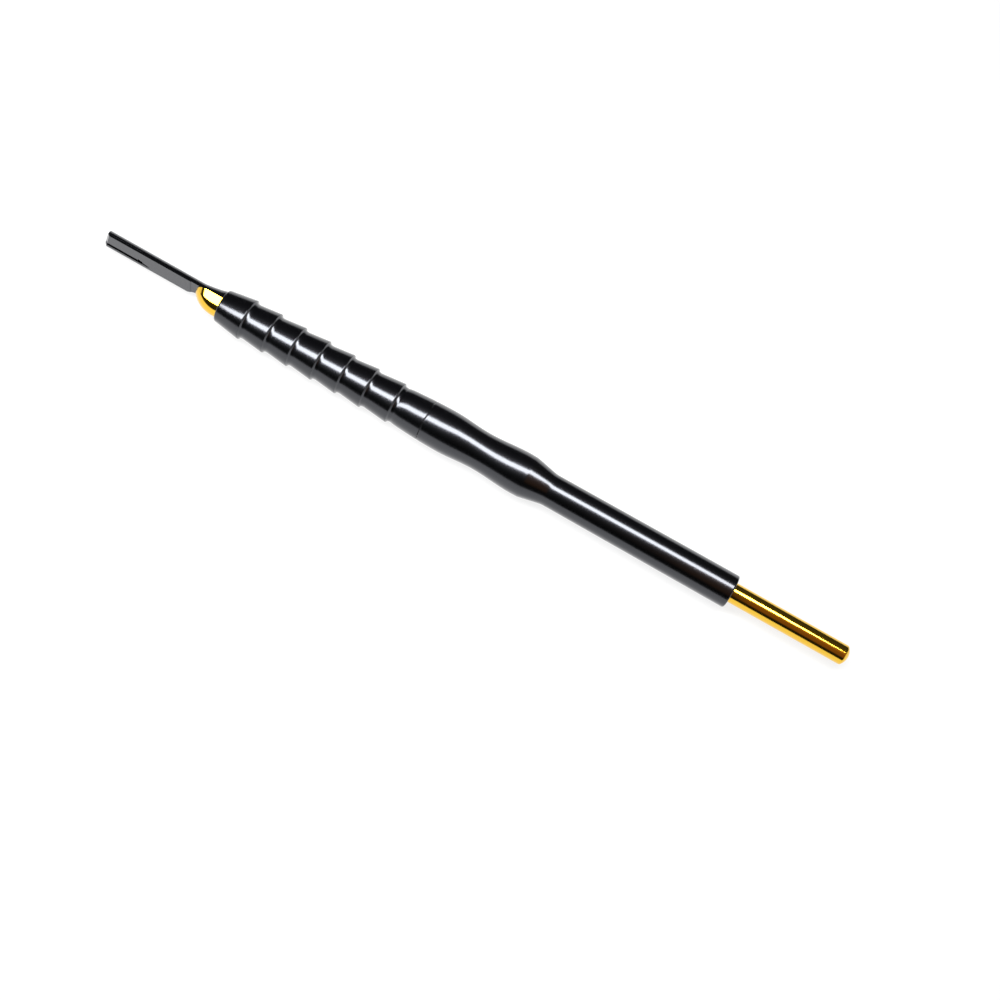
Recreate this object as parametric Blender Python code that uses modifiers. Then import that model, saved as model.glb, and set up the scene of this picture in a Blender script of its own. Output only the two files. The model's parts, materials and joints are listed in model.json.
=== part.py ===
"""Round scalpel handle with a push-button blade ejector, in metres.

The handle lies along X, with the blade tang at its -X end and the push button at its +X end.
The tang's flat seat for the blade faces -Y, and +Z is up. The origin is on the handle's axis,
on that seat. Stations along the axis are counted from the handle's front face, where the tang
leaves it, and station_x turns them into X.
"""

import math

import bmesh
import bpy
from mathutils import Vector

MM = 0.001

# Facets
SEGMENTS = 40
FRONT_SEGMENTS = 96
COIL_POINTS = 10
COIL_SIDES_RESOLUTION = 2
MERGE_DISTANCE = 0.00001

# Clearances between pieces
RUNNING_GAP = 0.06 * MM
FIXED_GAP = 0.03 * MM
FACE_GAP = 0.05 * MM
SEAM_GAP = 0.08 * MM
SPRING_GAP = 0.2 * MM

# Blade tang
TANG_REACH = 26.3 * MM
TANG_RADIUS = 2.05 * MM
TANG_EDGE = 0.12 * MM
TIP_SLANT = 0.2
TIP_BEVEL = 0.5 * MM
FLARE_LENGTH = 5.0 * MM
FLARE_POWER = 1.4
FLARE_STEPS = 5
SEAT_FROM_TIP = 14.6 * MM
TRACK_FROM_TIP = 19.2 * MM
TRACK_DROP = 0.1 * MM

# Groove in the flat beside the boss that a blade's slot slides over, with its shallow run-out
GROOVE_LENGTH = 8.4 * MM
GROOVE_OFFSET = 0.99 * MM
GROOVE_WIDTH = 0.62 * MM
GROOVE_DEPTH = 0.55 * MM
HEEL_SLOT_LENGTH = 2.6 * MM
HEEL_SLOT_WIDTH = 0.72 * MM
HEEL_SLOT_DEPTH = 0.2 * MM
HEEL_SLOT_ANGLE = math.radians(19)

# Groove in the boss's other side, under a lip of the flat
LIP_THICKNESS = 0.35 * MM
SIDE_GROOVE_WIDTH = 0.45 * MM
SIDE_GROOVE_DEPTH = 0.5 * MM

# Oblique relief under the blade's slanted heel
RELIEF_FROM_TIP = 18.5 * MM
RELIEF_RAMP = 1.5 * MM
RELIEF_FLOOR = 1.0 * MM
RELIEF_DEPTH = 0.8 * MM

# Front grip: its bore, wall and barbed rings
GRIP_BORE = 2.9 * MM
FACE_WALL = 0.4 * MM
FACE_ROUND = 0.3 * MM
RING_WALL = 0.7 * MM
RING_RISE = 0.52 * MM
RING_COUNT = 7
FIRST_RING_LENGTH = 5.7 * MM
RING_PITCH = 5.29 * MM
LAST_RING_LENGTH = 5.8 * MM
RING_EDGE = 0.12 * MM
COVE_LENGTH = 0.7 * MM
COVE_HEIGHT = 0.36 * MM

# Swells and waist behind the rings, and the straight barrel
TAIL_LENGTH = 6.7 * MM
SWELL_LENGTH = 10.75 * MM
SWELL_RISE = 0.58 * MM
WAIST_FALL_LENGTH = 7.73 * MM
WAIST_DROP = 0.44 * MM
WAIST_RISE_LENGTH = 8.4 * MM
WAIST_RISE = 0.46 * MM
CROWN_LENGTH = 1.7 * MM
CROWN_DROP = 0.06 * MM
CONE_LENGTH = 4.5 * MM
CONE_BLEND = 0.25 * MM
BARREL_LENGTH = 39.0 * MM
BARREL_WALL = 1.13 * MM
BARREL_FLARE = 0.13 * MM
BARREL_ROUND = 0.3 * MM

# Screwed joint between grip and barrel
COUNTERBORE_STEP = 0.3 * MM
SPIGOT_LENGTH = 3.1 * MM
SPIGOT_CHAMFER = 0.2 * MM
SEAM_EDGE = 0.07 * MM
BUSH_THICKNESS = 1.5 * MM

# Ejector: nose, shank, hub, rod and button
TRAVEL = 19.0 * MM
NOSE_REACH = 5.75 * MM
NOSE_SIDE_GAP = 0.4 * MM
NOSE_TOP_GAP = 0.2 * MM
NOSE_TIP_HEIGHT = 0.3 * MM
NOSE_OGIVE_LENGTH = 5.0 * MM
NOSE_CORNER_RADIUS = 2.3 * MM
NOSE_STATIONS = 9
UPPER_SQUARENESS = 2.3
LOWER_SQUARENESS = 2.0
HUB_LENGTH = 5.0 * MM
SOCKET_DEPTH = 3.6 * MM
THIN_ROD_RADIUS = 1.25 * MM
ROD_RADIUS = 2.0 * MM
ROD_CHAMFER = 0.2 * MM
CHAMBER_CLEARANCE = 0.4 * MM
CHAMBER_RELIEF = 1.5 * MM
BUTTON_REACH = 24.6 * MM
DOME_DEPTH = 0.85 * MM
DOME_STEPS = 5

# Return spring
SPRING_SPACE = 38.9 * MM
WIRE_DIAMETER = 0.4 * MM
SPRING_TURNS = 20
CLOSED_TURN_PITCH = 1.15 * WIRE_DIAMETER

# Radii that follow from the bore and the rod
FACE_RADIUS = GRIP_BORE + FACE_WALL
RING_LOW = GRIP_BORE + RING_WALL
RING_HIGH = RING_LOW + RING_RISE
COUNTERBORE = GRIP_BORE + COUNTERBORE_STEP
SWELL_RADIUS = RING_LOW + SWELL_RISE
WAIST_RADIUS = SWELL_RADIUS - WAIST_DROP
CROWN_RADIUS = WAIST_RADIUS + WAIST_RISE
ROD_HOLE = ROD_RADIUS + RUNNING_GAP
CHAMBER_RADIUS = ROD_RADIUS + CHAMBER_CLEARANCE
BARREL_FRONT_RADIUS = ROD_HOLE + BARREL_WALL
BARREL_REAR_RADIUS = BARREL_FRONT_RADIUS + BARREL_FLARE

# Stations along the axis, counted from the handle's front face
TIP = -TANG_REACH
RINGS_END = FIRST_RING_LENGTH + (RING_COUNT - 2) * RING_PITCH + LAST_RING_LENGTH
SEAM = RINGS_END + TAIL_LENGTH
SWELL_TOP = RINGS_END + SWELL_LENGTH
WAIST = SWELL_TOP + WAIST_FALL_LENGTH
CROWN_TOP = WAIST + WAIST_RISE_LENGTH
CONE_START = CROWN_TOP + CROWN_LENGTH
CONE_END = CONE_START + CONE_LENGTH
REAR_END = CONE_END + BARREL_LENGTH
BUSH_REAR = SEAM - SPIGOT_LENGTH
BUSH_FRONT = BUSH_REAR - BUSH_THICKNESS
HUB_REAR = BUSH_FRONT - FACE_GAP
HUB_FRONT = HUB_REAR - HUB_LENGTH
ROOT_END = HUB_FRONT - TRAVEL - FACE_GAP
ROD_SHOULDER = BUSH_REAR + SPRING_SPACE
CHAMBER_END = ROD_SHOULDER + CHAMBER_RELIEF

BLACK = (0.012, 0.012, 0.014, 1.0)
GOLD = (0.80, 0.52, 0.12, 1.0)
STEEL = (0.55, 0.56, 0.58, 1.0)


def station_x(station):
    """X of a station counted from the handle's front face."""
    return station - TIP - SEAT_FROM_TIP


def clear_scene():
    for obj in list(bpy.data.objects):
        bpy.data.objects.remove(obj, do_unlink=True)


def new_collection(name):
    collection = bpy.data.collections.new(name)
    bpy.context.scene.collection.children.link(collection)
    return collection


def new_material(name, color, roughness, metallic):
    material = bpy.data.materials.new(name)
    material.use_nodes = True
    shader = material.node_tree.nodes["Principled BSDF"]
    shader.inputs["Base Color"].default_value = color
    shader.inputs["Roughness"].default_value = roughness
    shader.inputs["Metallic"].default_value = metallic
    material.diffuse_color = color
    return material


def place(obj, collection, parent, station, material=None):
    """Puts an object, modelled with its own X zero at a station, on the handle's axis."""
    collection.objects.link(obj)
    obj.location.x = station_x(station)
    if material:
        obj.data.materials.append(material)
    if parent:
        obj.parent = parent
        obj.location.x -= parent.location.x
    return obj


def as_cutter(obj):
    obj.hide_render = True
    obj.display_type = "WIRE"
    return obj


def turned(name, profile, closed, segments=SEGMENTS):
    """A piece turned about X from (x, radius) points that run from its rear end to its front end
    along the outside. A closed profile comes back along the bore."""
    mesh = bpy.data.meshes.new(name)
    points = [(x, 0, radius) for x, radius in profile]
    edges = [(i, i + 1) for i in range(len(points) - 1)]
    if closed:
        edges.append((len(points) - 1, 0))
    mesh.from_pydata(points, edges, [])
    obj = bpy.data.objects.new(name, mesh)
    screw = obj.modifiers.new("turn", "SCREW")
    screw.axis = "X"
    screw.angle = 2 * math.pi
    screw.steps = segments
    screw.render_steps = segments
    screw.use_merge_vertices = True
    screw.merge_threshold = MERGE_DISTANCE
    screw.use_smooth_shade = True
    return obj


def block_cutter(name, low, high, collection, parent):
    """A box between two corners in world coordinates, as a cutter."""
    size = Vector(high) - Vector(low)
    mesh = bpy.data.meshes.new(name)
    shape = bmesh.new()
    bmesh.ops.create_cube(shape, size=1)
    bmesh.ops.scale(shape, vec=size, verts=shape.verts)
    shape.to_mesh(mesh)
    shape.free()
    obj = as_cutter(bpy.data.objects.new(name, mesh))
    collection.objects.link(obj)
    obj.location = (Vector(low) + Vector(high)) / 2
    obj.parent = parent
    return obj


def tip_cutter(collection, parent):
    """A slanted block in front of the tang: it leaves the tip oblique, with a bevel on its flat."""
    reach = 2 * GRIP_BORE
    outline = [
        (-reach, -TIP_BEVEL),
        (2 * TIP_BEVEL, -TIP_BEVEL),
        (0, TIP_BEVEL),
        (0, reach),
        (-reach, reach),
    ]
    points = []
    for z in (-reach, reach):
        shift = station_x(TIP) + TIP_SLANT * (z + TANG_RADIUS)
        points += [(x + shift, y, z) for x, y in outline]
    count = len(outline)
    faces = [tuple(reversed(range(count))), tuple(range(count, 2 * count))]
    for i in range(count):
        j = (i + 1) % count
        faces.append((i, j, j + count, i + count))
    mesh = bpy.data.meshes.new("tip_cut")
    mesh.from_pydata(points, [], faces)
    obj = as_cutter(bpy.data.objects.new("tip_cut", mesh))
    collection.objects.link(obj)
    obj.parent = parent
    return obj


def plan_cutter(name, outline, depth, collection, parent):
    """A cutter over a closed (x, z) outline that reaches depth into the tang from its seat."""
    curve = bpy.data.curves.new(name, "CURVE")
    curve.dimensions = "2D"
    curve.fill_mode = "BOTH"
    curve.extrude = depth
    spline = curve.splines.new("POLY")
    spline.points.add(len(outline) - 1)
    for point, (x, z) in zip(spline.points, outline):
        point.co = (x, z, 0, 1)
    spline.use_cyclic_u = True
    guide = bpy.data.objects.new(name + "_outline", curve)
    collection.objects.link(guide)
    guide.rotation_euler.x = math.pi / 2
    bpy.context.view_layer.update()
    mesh = bpy.data.meshes.new_from_object(guide.evaluated_get(bpy.context.evaluated_depsgraph_get()))
    shape = bmesh.new()
    shape.from_mesh(mesh)
    bmesh.ops.remove_doubles(shape, verts=shape.verts, dist=MERGE_DISTANCE)
    bmesh.ops.recalc_face_normals(shape, faces=shape.faces)
    shape.to_mesh(mesh)
    shape.free()
    obj = as_cutter(bpy.data.objects.new(name, mesh))
    collection.objects.link(obj)
    obj.matrix_world = guide.matrix_world
    obj.parent = parent
    bpy.data.objects.remove(guide)
    return obj


def slot_outline(start, angle, length, width):
    """A slot with round ends: (x, z) points round a centre line from start along angle."""
    along = Vector((math.cos(angle), math.sin(angle)))
    end = Vector(start) + along * length
    steps = 6
    points = []
    for centre, turn in ((end, -math.pi / 2), (Vector(start), math.pi / 2)):
        for i in range(steps + 1):
            a = angle + turn + math.pi * i / steps
            points.append(tuple(centre + Vector((math.cos(a), math.sin(a))) * width / 2))
    return points


def add_boolean(obj, other, operation="DIFFERENCE"):
    boolean = obj.modifiers.new(other.name, "BOOLEAN")
    boolean.operation = operation
    boolean.object = other


def ease(start, end, low, high, x):
    """A half cosine wave from low at start to high at end."""
    share = (x - start) / (end - start)
    return low + (high - low) * (1 - math.cos(math.pi * share)) / 2


def body_radius(station):
    """Outer radius of the handle behind its rings."""
    if station <= SWELL_TOP:
        share = (SWELL_TOP - station) / SWELL_LENGTH
        return SWELL_RADIUS - SWELL_RISE * share ** 2
    if station <= WAIST:
        return ease(SWELL_TOP, WAIST, SWELL_RADIUS, WAIST_RADIUS, station)
    if station <= CROWN_TOP:
        return ease(WAIST, CROWN_TOP, WAIST_RADIUS, CROWN_RADIUS, station)
    if station <= CONE_START:
        share = (station - CROWN_TOP) / CROWN_LENGTH
        return CROWN_RADIUS - CROWN_DROP * share ** 2
    share = (station - CONE_START) / CONE_LENGTH
    cone_top = CROWN_RADIUS - CROWN_DROP
    return cone_top + (BARREL_FRONT_RADIUS - cone_top) * min(share, 1)


def spread(start, end, count):
    """Stations after start, evenly spaced, with end as the last."""
    return [start + (end - start) * (i + 1) / count for i in range(count)]


def ring_ends():
    """Stations of the steps at the rings' rear ends."""
    steps = [FIRST_RING_LENGTH + i * RING_PITCH for i in range(RING_COUNT - 1)]
    return steps + [RINGS_END]


def tang_profile():
    root_radius = GRIP_BORE - FIXED_GAP
    length = ROOT_END - TIP
    flare = []
    for i in range(FLARE_STEPS, -1, -1):
        share = i / FLARE_STEPS
        radius = TANG_RADIUS + (root_radius - TANG_RADIUS) * share ** FLARE_POWER
        flare.append((TANG_REACH - FLARE_LENGTH * (1 - share), radius))
    return [
        (length, 0),
        (length, root_radius),
        *flare,
        (TANG_EDGE, TANG_RADIUS),
        (0, TANG_RADIUS - TANG_EDGE),
        (0, 0),
    ]


def relief_outline():
    """The oblique relief in the tang's lower edge: a slanted ramp, a floor and a way out."""
    start = station_x(TIP + RELIEF_FROM_TIP)
    outside = -2 * GRIP_BORE
    floor = -(TANG_RADIUS - RELIEF_DEPTH)
    return [
        (start, -TANG_RADIUS),
        (start + RELIEF_RAMP, floor),
        (start + RELIEF_RAMP + RELIEF_FLOOR, floor),
        (start + RELIEF_RAMP + RELIEF_FLOOR + RELIEF_DEPTH, -TANG_RADIUS),
        (start + RELIEF_RAMP + RELIEF_FLOOR + RELIEF_DEPTH, outside),
        (start, outside),
    ]


def build_tang(parts, cutters, parent, material):
    """Half-round tang: the flat through its axis carries the grooved seat, then the nose's track."""
    tang = turned("blade_tang", tang_profile(), False, FRONT_SEGMENTS)
    place(tang, parts, parent, TIP, material)
    front = station_x(TIP) - GRIP_BORE
    rear = station_x(ROOT_END) + GRIP_BORE
    track = station_x(TIP + TRACK_FROM_TIP)
    reach = 2 * GRIP_BORE
    seat = block_cutter("seat_cut", (front, -reach, -reach), (rear, 0, reach), cutters, parent)
    track_low = (track, -reach, -reach)
    track_high = (rear, TRACK_DROP, reach)
    track_cut = block_cutter("track_cut", track_low, track_high, cutters, parent)
    add_boolean(tang, seat)
    add_boolean(tang, track_cut)
    add_boolean(tang, tip_cutter(cutters, parent))
    tip = station_x(TIP)
    run = GROOVE_LENGTH - GROOVE_WIDTH / 2
    groove = slot_outline((tip - GROOVE_WIDTH, -GROOVE_OFFSET), 0, run + GROOVE_WIDTH, GROOVE_WIDTH)
    add_boolean(tang, plan_cutter("lower_groove", groove, GROOVE_DEPTH, cutters, parent))
    side_low = (front, LIP_THICKNESS, TANG_RADIUS - SIDE_GROOVE_DEPTH)
    side_high = (tip + GROOVE_LENGTH, LIP_THICKNESS + SIDE_GROOVE_WIDTH, reach)
    add_boolean(tang, block_cutter("upper_groove", side_low, side_high, cutters, parent))
    heel_start = (tip + GROOVE_LENGTH, -GROOVE_OFFSET + GROOVE_WIDTH / 2)
    heel = slot_outline(heel_start, -HEEL_SLOT_ANGLE, HEEL_SLOT_LENGTH - HEEL_SLOT_WIDTH, HEEL_SLOT_WIDTH)
    add_boolean(tang, plan_cutter("heel_slot", heel, HEEL_SLOT_DEPTH, cutters, parent))
    relief = plan_cutter("heel_relief", relief_outline(), 2 * GRIP_BORE, cutters, parent)
    add_boolean(tang, relief)
    return tang


def ring_outline():
    """(station, radius) points of the barbed rings from the rear one to the front one."""
    points = []
    ends = ring_ends()
    middle = 1 - math.sqrt(0.5)
    for end in reversed(ends):
        points += [
            (end + COVE_LENGTH, RING_LOW),
            (end + COVE_LENGTH * middle, RING_LOW + COVE_HEIGHT * middle),
            (end, RING_LOW + COVE_HEIGHT),
            (end, RING_HIGH - RING_EDGE),
            (end - RING_EDGE, RING_HIGH),
        ]
    return points


def build_grip(parts, parent, material):
    """Front grip: barbed outside, bore for the nose and hub, counterbore for bush and spigot."""
    rear = SEAM - SEAM_GAP
    tail = [s for s in spread(RINGS_END, rear, 4)[:-1] if s > RINGS_END + COVE_LENGTH]
    face_mid = FACE_ROUND * (1 - math.sqrt(0.5))
    profile = [(rear, COUNTERBORE), (rear, body_radius(rear) - SEAM_EDGE)]
    profile += [(rear - SEAM_EDGE, body_radius(rear - SEAM_EDGE))]
    profile += [(s, body_radius(s)) for s in reversed(tail)]
    profile += ring_outline()
    profile += [
        (FACE_ROUND, FACE_RADIUS),
        (face_mid, FACE_RADIUS - face_mid),
        (0, FACE_RADIUS - FACE_ROUND),
        (0, GRIP_BORE),
        (BUSH_FRONT, GRIP_BORE),
        (BUSH_FRONT, COUNTERBORE),
    ]
    return place(turned("front_grip", profile, True), parts, parent, 0, material)


def build_barrel(parts, parent, material):
    """Rear barrel: spigot, swells and waist, cone and long barrel over the spring chamber."""
    spigot = COUNTERBORE - FIXED_GAP
    spigot_front = BUSH_REAR + FACE_GAP
    round_mid = BARREL_ROUND * (1 - math.sqrt(0.5))
    swell = spread(SEAM + SEAM_EDGE, SWELL_TOP, 3)
    fall = spread(SWELL_TOP, WAIST, 6)
    rise = spread(WAIST, CROWN_TOP, 6)
    crown = spread(CROWN_TOP, CONE_START, 3)
    cone = [CONE_END - CONE_BLEND]
    curve = swell + fall + rise + crown + cone
    profile = [
        (REAR_END, ROD_HOLE),
        (REAR_END, BARREL_REAR_RADIUS - BARREL_ROUND),
        (REAR_END - round_mid, BARREL_REAR_RADIUS - round_mid),
        (REAR_END - BARREL_ROUND, BARREL_REAR_RADIUS),
        (CONE_END + CONE_BLEND, BARREL_FRONT_RADIUS),
    ]
    profile += [(s, body_radius(s)) for s in reversed(curve)]
    profile += [
        (SEAM + SEAM_EDGE, body_radius(SEAM + SEAM_EDGE)),
        (SEAM, body_radius(SEAM) - SEAM_EDGE),
        (SEAM, spigot),
        (spigot_front + SPIGOT_CHAMFER, spigot),
        (spigot_front, spigot - SPIGOT_CHAMFER),
        (spigot_front, CHAMBER_RADIUS),
        (CHAMBER_END, CHAMBER_RADIUS),
        (CHAMBER_END + CHAMBER_CLEARANCE, ROD_HOLE),
    ]
    return place(turned("rear_barrel", profile, True), parts, parent, 0, material)


def build_bush(parts, parent, material):
    """Guide bush trapped in the counterbore: it steers the thin rod and seats the spring."""
    radius = COUNTERBORE - FIXED_GAP
    hole = THIN_ROD_RADIUS + RUNNING_GAP
    front = FACE_GAP / 2
    profile = [(BUSH_THICKNESS, hole), (BUSH_THICKNESS, radius), (front, radius), (front, hole)]
    return place(turned("guide_bush", profile, True), parts, parent, BUSH_FRONT, material)


def nose_height(distance):
    """Height of the nose's ogive over the seat, at a distance behind its tip."""
    full = GRIP_BORE - NOSE_TOP_GAP - FACE_GAP - NOSE_TIP_HEIGHT
    if distance >= NOSE_OGIVE_LENGTH:
        return full + NOSE_TIP_HEIGHT
    sweep = (full ** 2 + NOSE_OGIVE_LENGTH ** 2) / (2 * full)
    left = NOSE_OGIVE_LENGTH - distance
    return NOSE_TIP_HEIGHT + math.sqrt(sweep ** 2 - left ** 2) - (sweep - full)


def nose_half_width(distance):
    """Half width of the nose in plan, at a distance behind its rounded tip."""
    full = GRIP_BORE - NOSE_SIDE_GAP
    corner = min(NOSE_CORNER_RADIUS, full)
    left = max(corner - distance, 0)
    return full - corner + math.sqrt(corner ** 2 - left ** 2)


def nose_stations():
    """Distances behind the nose's tip where its section is drawn, closer together at the front."""
    tip = NOSE_OGIVE_LENGTH / NOSE_STATIONS ** 2
    return [tip * i ** 2 for i in range(1, NOSE_STATIONS + 1)]


def loft_half_round(name, sections):
    """A closed loft through half ellipses under the seat: (x, half width, height) of each. The
    upper half of each is squarer than an ellipse."""
    shape = bmesh.new()
    arc = FRONT_SEGMENTS // 2
    rows = []
    for x, half_width, height in sections:
        row = []
        for i in range(arc + 1):
            angle = math.pi * i / arc
            power = 2 / (UPPER_SQUARENESS if angle < math.pi / 2 else LOWER_SQUARENESS)
            y = -FACE_GAP - height * max(math.sin(angle), 0) ** power
            z = math.copysign(half_width * abs(math.cos(angle)) ** power, math.cos(angle))
            row.append(shape.verts.new((x, y, z)))
        rows.append(row)
    for front, rear in zip(rows, rows[1:]):
        for i in range(arc + 1):
            j = (i + 1) % (arc + 1)
            shape.faces.new((front[i], front[j], rear[j], rear[i]))
    shape.faces.new(rows[0])
    shape.faces.new(rows[-1])
    bmesh.ops.recalc_face_normals(shape, faces=shape.faces)
    mesh = bpy.data.meshes.new(name)
    shape.to_mesh(mesh)
    shape.free()
    mesh.shade_smooth()
    mesh.set_sharp_from_angle(angle=math.radians(40))
    return bpy.data.objects.new(name, mesh)


def hub_profile():
    radius = GRIP_BORE - RUNNING_GAP
    socket = THIN_ROD_RADIUS + FIXED_GAP
    edge = ROD_CHAMFER
    return [
        (HUB_LENGTH - SOCKET_DEPTH, 0),
        (HUB_LENGTH - SOCKET_DEPTH, socket),
        (HUB_LENGTH, socket),
        (HUB_LENGTH, radius - edge),
        (HUB_LENGTH - edge, radius),
        (0, radius),
        (0, 0),
    ]


def build_nose(parts, cutters, parent, material):
    """Ejector nose: an ogive on a half-round shank that slides on the tang's flat, with a hub."""
    tip = -NOSE_REACH
    solid_front = HUB_LENGTH - SOCKET_DEPTH
    shank_end = HUB_FRONT + solid_front / 2
    sections = [(d, nose_half_width(d), nose_height(d)) for d in nose_stations()]
    sections.append((shank_end - tip, nose_half_width(shank_end - tip), nose_height(shank_end - tip)))
    nose = place(loft_half_round("ejector_nose", sections), parts, parent, tip, material)
    hub = as_cutter(place(turned("nose_hub", hub_profile(), False), cutters, parent, HUB_FRONT))
    add_boolean(nose, hub, "UNION")
    return nose


def build_rod(parts, parent, material):
    """Push rod: thin front in the hub's socket, spring shoulder, and the domed push button."""
    front = HUB_REAR - SOCKET_DEPTH + FACE_GAP
    shoulder = ROD_SHOULDER - front
    length = REAR_END + BUTTON_REACH - front
    dome_radius = (ROD_RADIUS ** 2 + DOME_DEPTH ** 2) / (2 * DOME_DEPTH)
    profile = []
    for i in range(DOME_STEPS + 1):
        angle = math.asin(ROD_RADIUS / dome_radius) * i / DOME_STEPS
        x = length - dome_radius * (1 - math.cos(angle))
        profile.append((x, dome_radius * math.sin(angle)))
    profile += [
        (shoulder, ROD_RADIUS),
        (shoulder, THIN_ROD_RADIUS),
        (ROD_CHAMFER, THIN_ROD_RADIUS),
        (0, THIN_ROD_RADIUS - ROD_CHAMFER),
        (0, 0),
    ]
    return place(turned("push_rod", profile, False), parts, parent, front, material)


def coil_points():
    """Centre line of the spring from its front end: a closed turn, open turns, a closed turn."""
    radius = THIN_ROD_RADIUS + SPRING_GAP + WIRE_DIAMETER / 2
    clear = FACE_GAP + WIRE_DIAMETER / 2
    length = SPRING_SPACE - 2 * clear
    open_pitch = (length - 2 * CLOSED_TURN_PITCH) / (SPRING_TURNS - 2)
    points = []
    for i in range(SPRING_TURNS * COIL_POINTS + 1):
        turn = i / COIL_POINTS
        first = min(turn, 1) * CLOSED_TURN_PITCH
        middle = min(max(turn - 1, 0), SPRING_TURNS - 2) * open_pitch
        last = max(turn - SPRING_TURNS + 1, 0) * CLOSED_TURN_PITCH
        angle = 2 * math.pi * turn
        x = clear + first + middle + last
        points.append((x, radius * math.cos(angle), radius * math.sin(angle)))
    return points


def build_spring(parts, parent, material):
    """Return spring round the thin rod, between the bush and the rod's shoulder."""
    curve = bpy.data.curves.new("return_spring", "CURVE")
    curve.dimensions = "3D"
    curve.bevel_depth = WIRE_DIAMETER / 2
    curve.bevel_resolution = COIL_SIDES_RESOLUTION
    curve.use_fill_caps = True
    points = coil_points()
    spline = curve.splines.new("POLY")
    spline.points.add(len(points) - 1)
    for point, place_at in zip(spline.points, points):
        point.co = (*place_at, 1)
    spring = bpy.data.objects.new("return_spring", curve)
    return place(spring, parts, parent, BUSH_REAR, material)


def build_axis(name, station, collection):
    """An empty on the handle's axis that carries the pieces of one body."""
    empty = bpy.data.objects.new(name, None)
    empty.empty_display_size = 2 * GRIP_BORE
    collection.objects.link(empty)
    empty.location.x = station_x(station)
    return empty


def build():
    clear_scene()
    parts = new_collection("scalpel_handle")
    cutters = new_collection("cutters")
    black = new_material("black_coating", BLACK, 0.22, 0.6)
    gold = new_material("gold_coating", GOLD, 0.12, 1.0)
    steel = new_material("plain_steel", STEEL, 0.3, 1.0)
    handle = build_axis("handle_axis", TIP + SEAT_FROM_TIP, parts)
    ejector = build_axis("ejector_axis", HUB_REAR, parts)
    build_tang(parts, cutters, handle, black)
    build_grip(parts, handle, black)
    build_barrel(parts, handle, black)
    build_bush(parts, handle, steel)
    build_nose(parts, cutters, ejector, gold)
    build_rod(parts, ejector, gold)
    build_spring(parts, handle, steel)


build()
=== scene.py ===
"""Looks of the round scalpel handle: fine surfaces over the frame, finishes, light, floor and camera.

Lengths are in metres in the frame's own axes: +X along the handle to the push button, -Y out of the
blade seat, +Z up. The handle lies along X just over the floor.
"""

import json
import math

import bmesh
import bpy
import numpy as np
from mathutils import Matrix, Vector

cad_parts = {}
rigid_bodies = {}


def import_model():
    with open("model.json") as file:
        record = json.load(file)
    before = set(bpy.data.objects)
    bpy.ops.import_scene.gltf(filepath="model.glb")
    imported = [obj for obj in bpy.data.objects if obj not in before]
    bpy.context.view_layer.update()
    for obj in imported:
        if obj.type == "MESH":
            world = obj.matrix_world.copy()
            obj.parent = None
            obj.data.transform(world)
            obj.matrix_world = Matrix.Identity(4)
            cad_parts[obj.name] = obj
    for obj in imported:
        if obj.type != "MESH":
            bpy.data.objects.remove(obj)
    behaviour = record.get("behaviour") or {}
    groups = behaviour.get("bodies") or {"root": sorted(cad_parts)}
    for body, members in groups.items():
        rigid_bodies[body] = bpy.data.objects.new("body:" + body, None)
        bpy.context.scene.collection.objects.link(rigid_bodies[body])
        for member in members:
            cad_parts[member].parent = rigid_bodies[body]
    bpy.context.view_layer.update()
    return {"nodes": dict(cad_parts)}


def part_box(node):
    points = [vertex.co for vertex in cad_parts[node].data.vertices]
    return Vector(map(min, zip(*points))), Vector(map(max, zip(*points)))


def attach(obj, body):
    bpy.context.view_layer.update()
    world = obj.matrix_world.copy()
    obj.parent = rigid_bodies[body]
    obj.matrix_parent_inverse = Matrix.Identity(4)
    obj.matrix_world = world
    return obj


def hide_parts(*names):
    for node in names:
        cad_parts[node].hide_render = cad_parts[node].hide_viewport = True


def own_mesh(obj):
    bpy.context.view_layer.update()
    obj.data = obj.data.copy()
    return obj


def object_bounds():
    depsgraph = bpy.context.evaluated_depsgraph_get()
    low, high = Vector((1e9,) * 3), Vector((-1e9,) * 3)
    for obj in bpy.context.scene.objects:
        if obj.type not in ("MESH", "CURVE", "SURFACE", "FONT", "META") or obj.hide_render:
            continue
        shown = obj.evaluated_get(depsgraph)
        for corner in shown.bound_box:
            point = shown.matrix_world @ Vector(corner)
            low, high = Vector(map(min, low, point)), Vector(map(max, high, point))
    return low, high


MM = 0.001

# Fineness of the surfaces
TURN_STEPS = 192
SPLINE_STEP = 0.3 * MM
ARC_STEP = math.radians(12)
TINY = 0.0001 * MM

# How an outline read off the frame is smoothed
LONG_STRAIGHT = 2.5 * MM
GENTLE_TURN = math.radians(20)
TRUE_CORNER = math.radians(60)
EDGE_ROUND = 0.06 * MM
BLEND_ROUND = 1.0 * MM
CORNER_SHARE = 0.45

# Blade tang, with the CAD's sizes for all but its grooves
TANG_ARC_POINTS = 72
STEP_BLEND = 0.2 * MM
TIP_SLANT = 0.2
TIP_BEVEL = 0.5 * MM
GROOVE_LENGTH = 8.4 * MM
GROOVE_OFFSET = 1.07 * MM
GROOVE_WIDTH = 0.76 * MM
GROOVE_DEPTH = 0.55 * MM
GROOVE_WALL = 0.02 * MM
RUN_OUT_LENGTH = 2.6 * MM
RUN_OUT_SHIFT = 0.24 * MM
RUN_OUT_DEPTH = 0.2 * MM
RUN_OUT_WALL_DIVISOR = 3
LIP_THICKNESS = 0.35 * MM
SIDE_GROOVE_WIDTH = 0.4 * MM
SIDE_GROOVE_DEPTH = 0.4 * MM
SIDE_GROOVE_DRAFT = math.radians(12)
TRACK_FROM_TIP = 19.2 * MM
TRACK_DROP = 0.1 * MM
RELIEF_FROM_TIP = 18.5 * MM
RELIEF_RAMP = 1.5 * MM
RELIEF_FLOOR = 1.0 * MM
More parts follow.
